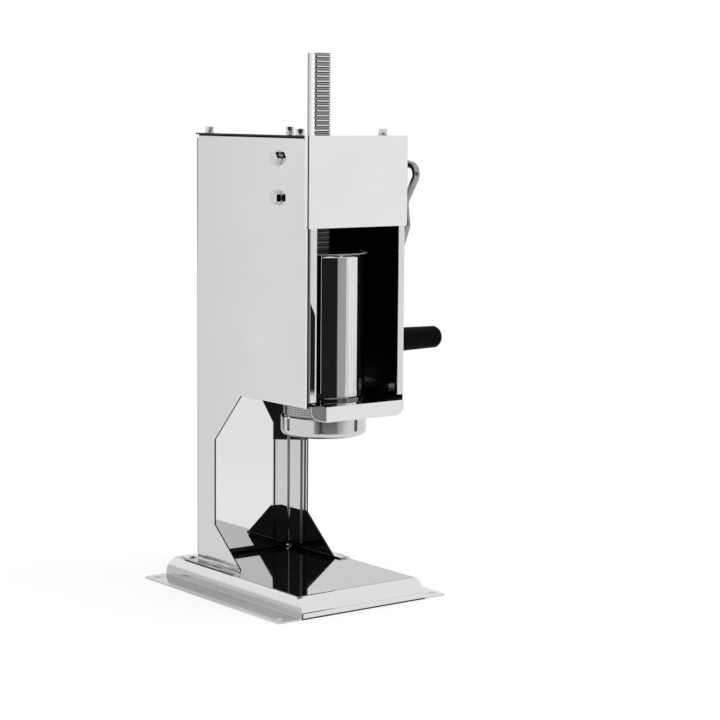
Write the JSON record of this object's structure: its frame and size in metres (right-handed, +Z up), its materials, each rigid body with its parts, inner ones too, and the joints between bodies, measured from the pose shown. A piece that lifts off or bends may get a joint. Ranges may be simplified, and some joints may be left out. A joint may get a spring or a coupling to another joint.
{
  "type": "pasta extruder with crank",
  "caption": "Upright hand-cranked pasta extruder: toothed rack and piston press dough through a barrel in a polished sheet-steel stand with a wide base.",
  "frame": {"origin": "on the ground in the middle of the base plate's four-hole fixing pattern", "axes": "+Z up, +X to the user's right where the crank is, +Y to the rear, so -Y is the front with the barrel opening"},
  "size_m": [0.3228, 0.3194, 0.7118],
  "materials": {
    "base_sheet": "mirror-polished stainless sheet",
    "head_sheet": "mirror-polished stainless sheet",
    "top_sheet": "mirror-polished stainless sheet",
    "cover_sheet": "mirror-polished stainless sheet",
    "tray_sheet": "mirror-polished stainless sheet",
    "barrel_steel": "polished stainless tube",
    "rail_steel": "plain stainless angle",
    "bearing_steel": "zinc-plated steel plate",
    "fasteners": "bright stainless fasteners",
    "machined_steel": "turned steel",
    "gear_steel": "hobbed steel",
    "rack_steel": "milled stainless rack",
    "crank_steel": "polished stainless rod",
    "piston_steel": "turned stainless",
    "die_steel": "turned stainless, drilled",
    "ring_aluminium": "polished cast and turned aluminium",
    "grip_plastic": "black moulded plastic, satin",
    "seal_rubber": "pale silicone rubber"
  },
  "bodies": {
    "frame": {"base_plate": "base_sheet", "left_side_plate": "head_sheet", "right_side_plate": "head_sheet", "back_plate": "head_sheet", "top_plate": "top_sheet", "front_cover": "cover_sheet", "top_screws": "fasteners", "foot_bolts": "fasteners", "left_bearing_plate": "bearing_steel", "right_bearing_plate": "bearing_steel", "rack_guide": "bearing_steel", "left_tray_rail": "rail_steel", "right_tray_rail": "rail_steel", "rail_screws": "fasteners", "barrel_tray": "tray_sheet", "barrel": "barrel_steel"},
    "crank": {"crank_shaft": "machined_steel", "crank_pinion": "gear_steel", "crank_shaft_bolt": "fasteners", "crank_arm": "crank_steel", "hub_screw": "fasteners", "grip_collar": "fasteners"},
    "grip": {"grip": "grip_plastic"},
    "gear_shaft": {"gear_shaft": "machined_steel", "reduction_gear": "gear_steel", "gear_shaft_bolts": "fasteners"},
    "rack": {"rack": "rack_steel", "piston": "piston_steel", "piston_seal": "seal_rubber", "piston_screw": "fasteners"},
    "die": {"die_plate": "die_steel"},
    "ring": {"ring_nut": "ring_aluminium"}
  },
  "joints": [
    {"name": "crank_turn", "type": "hinge", "parent": "frame", "child": "crank", "pos_m": [0.097, -0.072, 0.578], "axis": [1, 0, 0], "range_deg": [-362, 3215]},
    {"name": "gear_turn", "type": "hinge", "parent": "frame", "child": "gear_shaft", "pos_m": [0, -0.072, 0.528], "axis": [1, 0, 0], "range_deg": [-1016, 115]},
    {"name": "rack_slide", "type": "slide", "parent": "frame", "child": "rack", "axis": [0, 0, 1], "range_m": [-0.1775, 0.02]},
    {"name": "grip_spin", "type": "hinge", "parent": "crank", "child": "grip", "pos_m": [0.145, -0.073, 0.335], "axis": [1, 0, 0], "continuous": true},
    {"name": "die_drop", "type": "slide", "parent": "frame", "child": "die", "axis": [0, 0, -1], "range_m": [0, 0.012]},
    {"name": "ring_turn", "type": "hinge", "parent": "die", "child": "ring", "pos_m": [0, -0.068, 0.23], "axis": [0, 0, -1], "range_deg": [0, 1440]}
  ],
  "couplings": [
    {"joint": "gear_turn", "follows": "crank_turn", "ratio": -0.31579},
    {"joint": "rack_slide", "follows": "crank_turn", "m_per_rad": -0.0031579},
    {"joint": "die_drop", "follows": "ring_turn", "m_per_rad": 0.00047746}
  ]
}
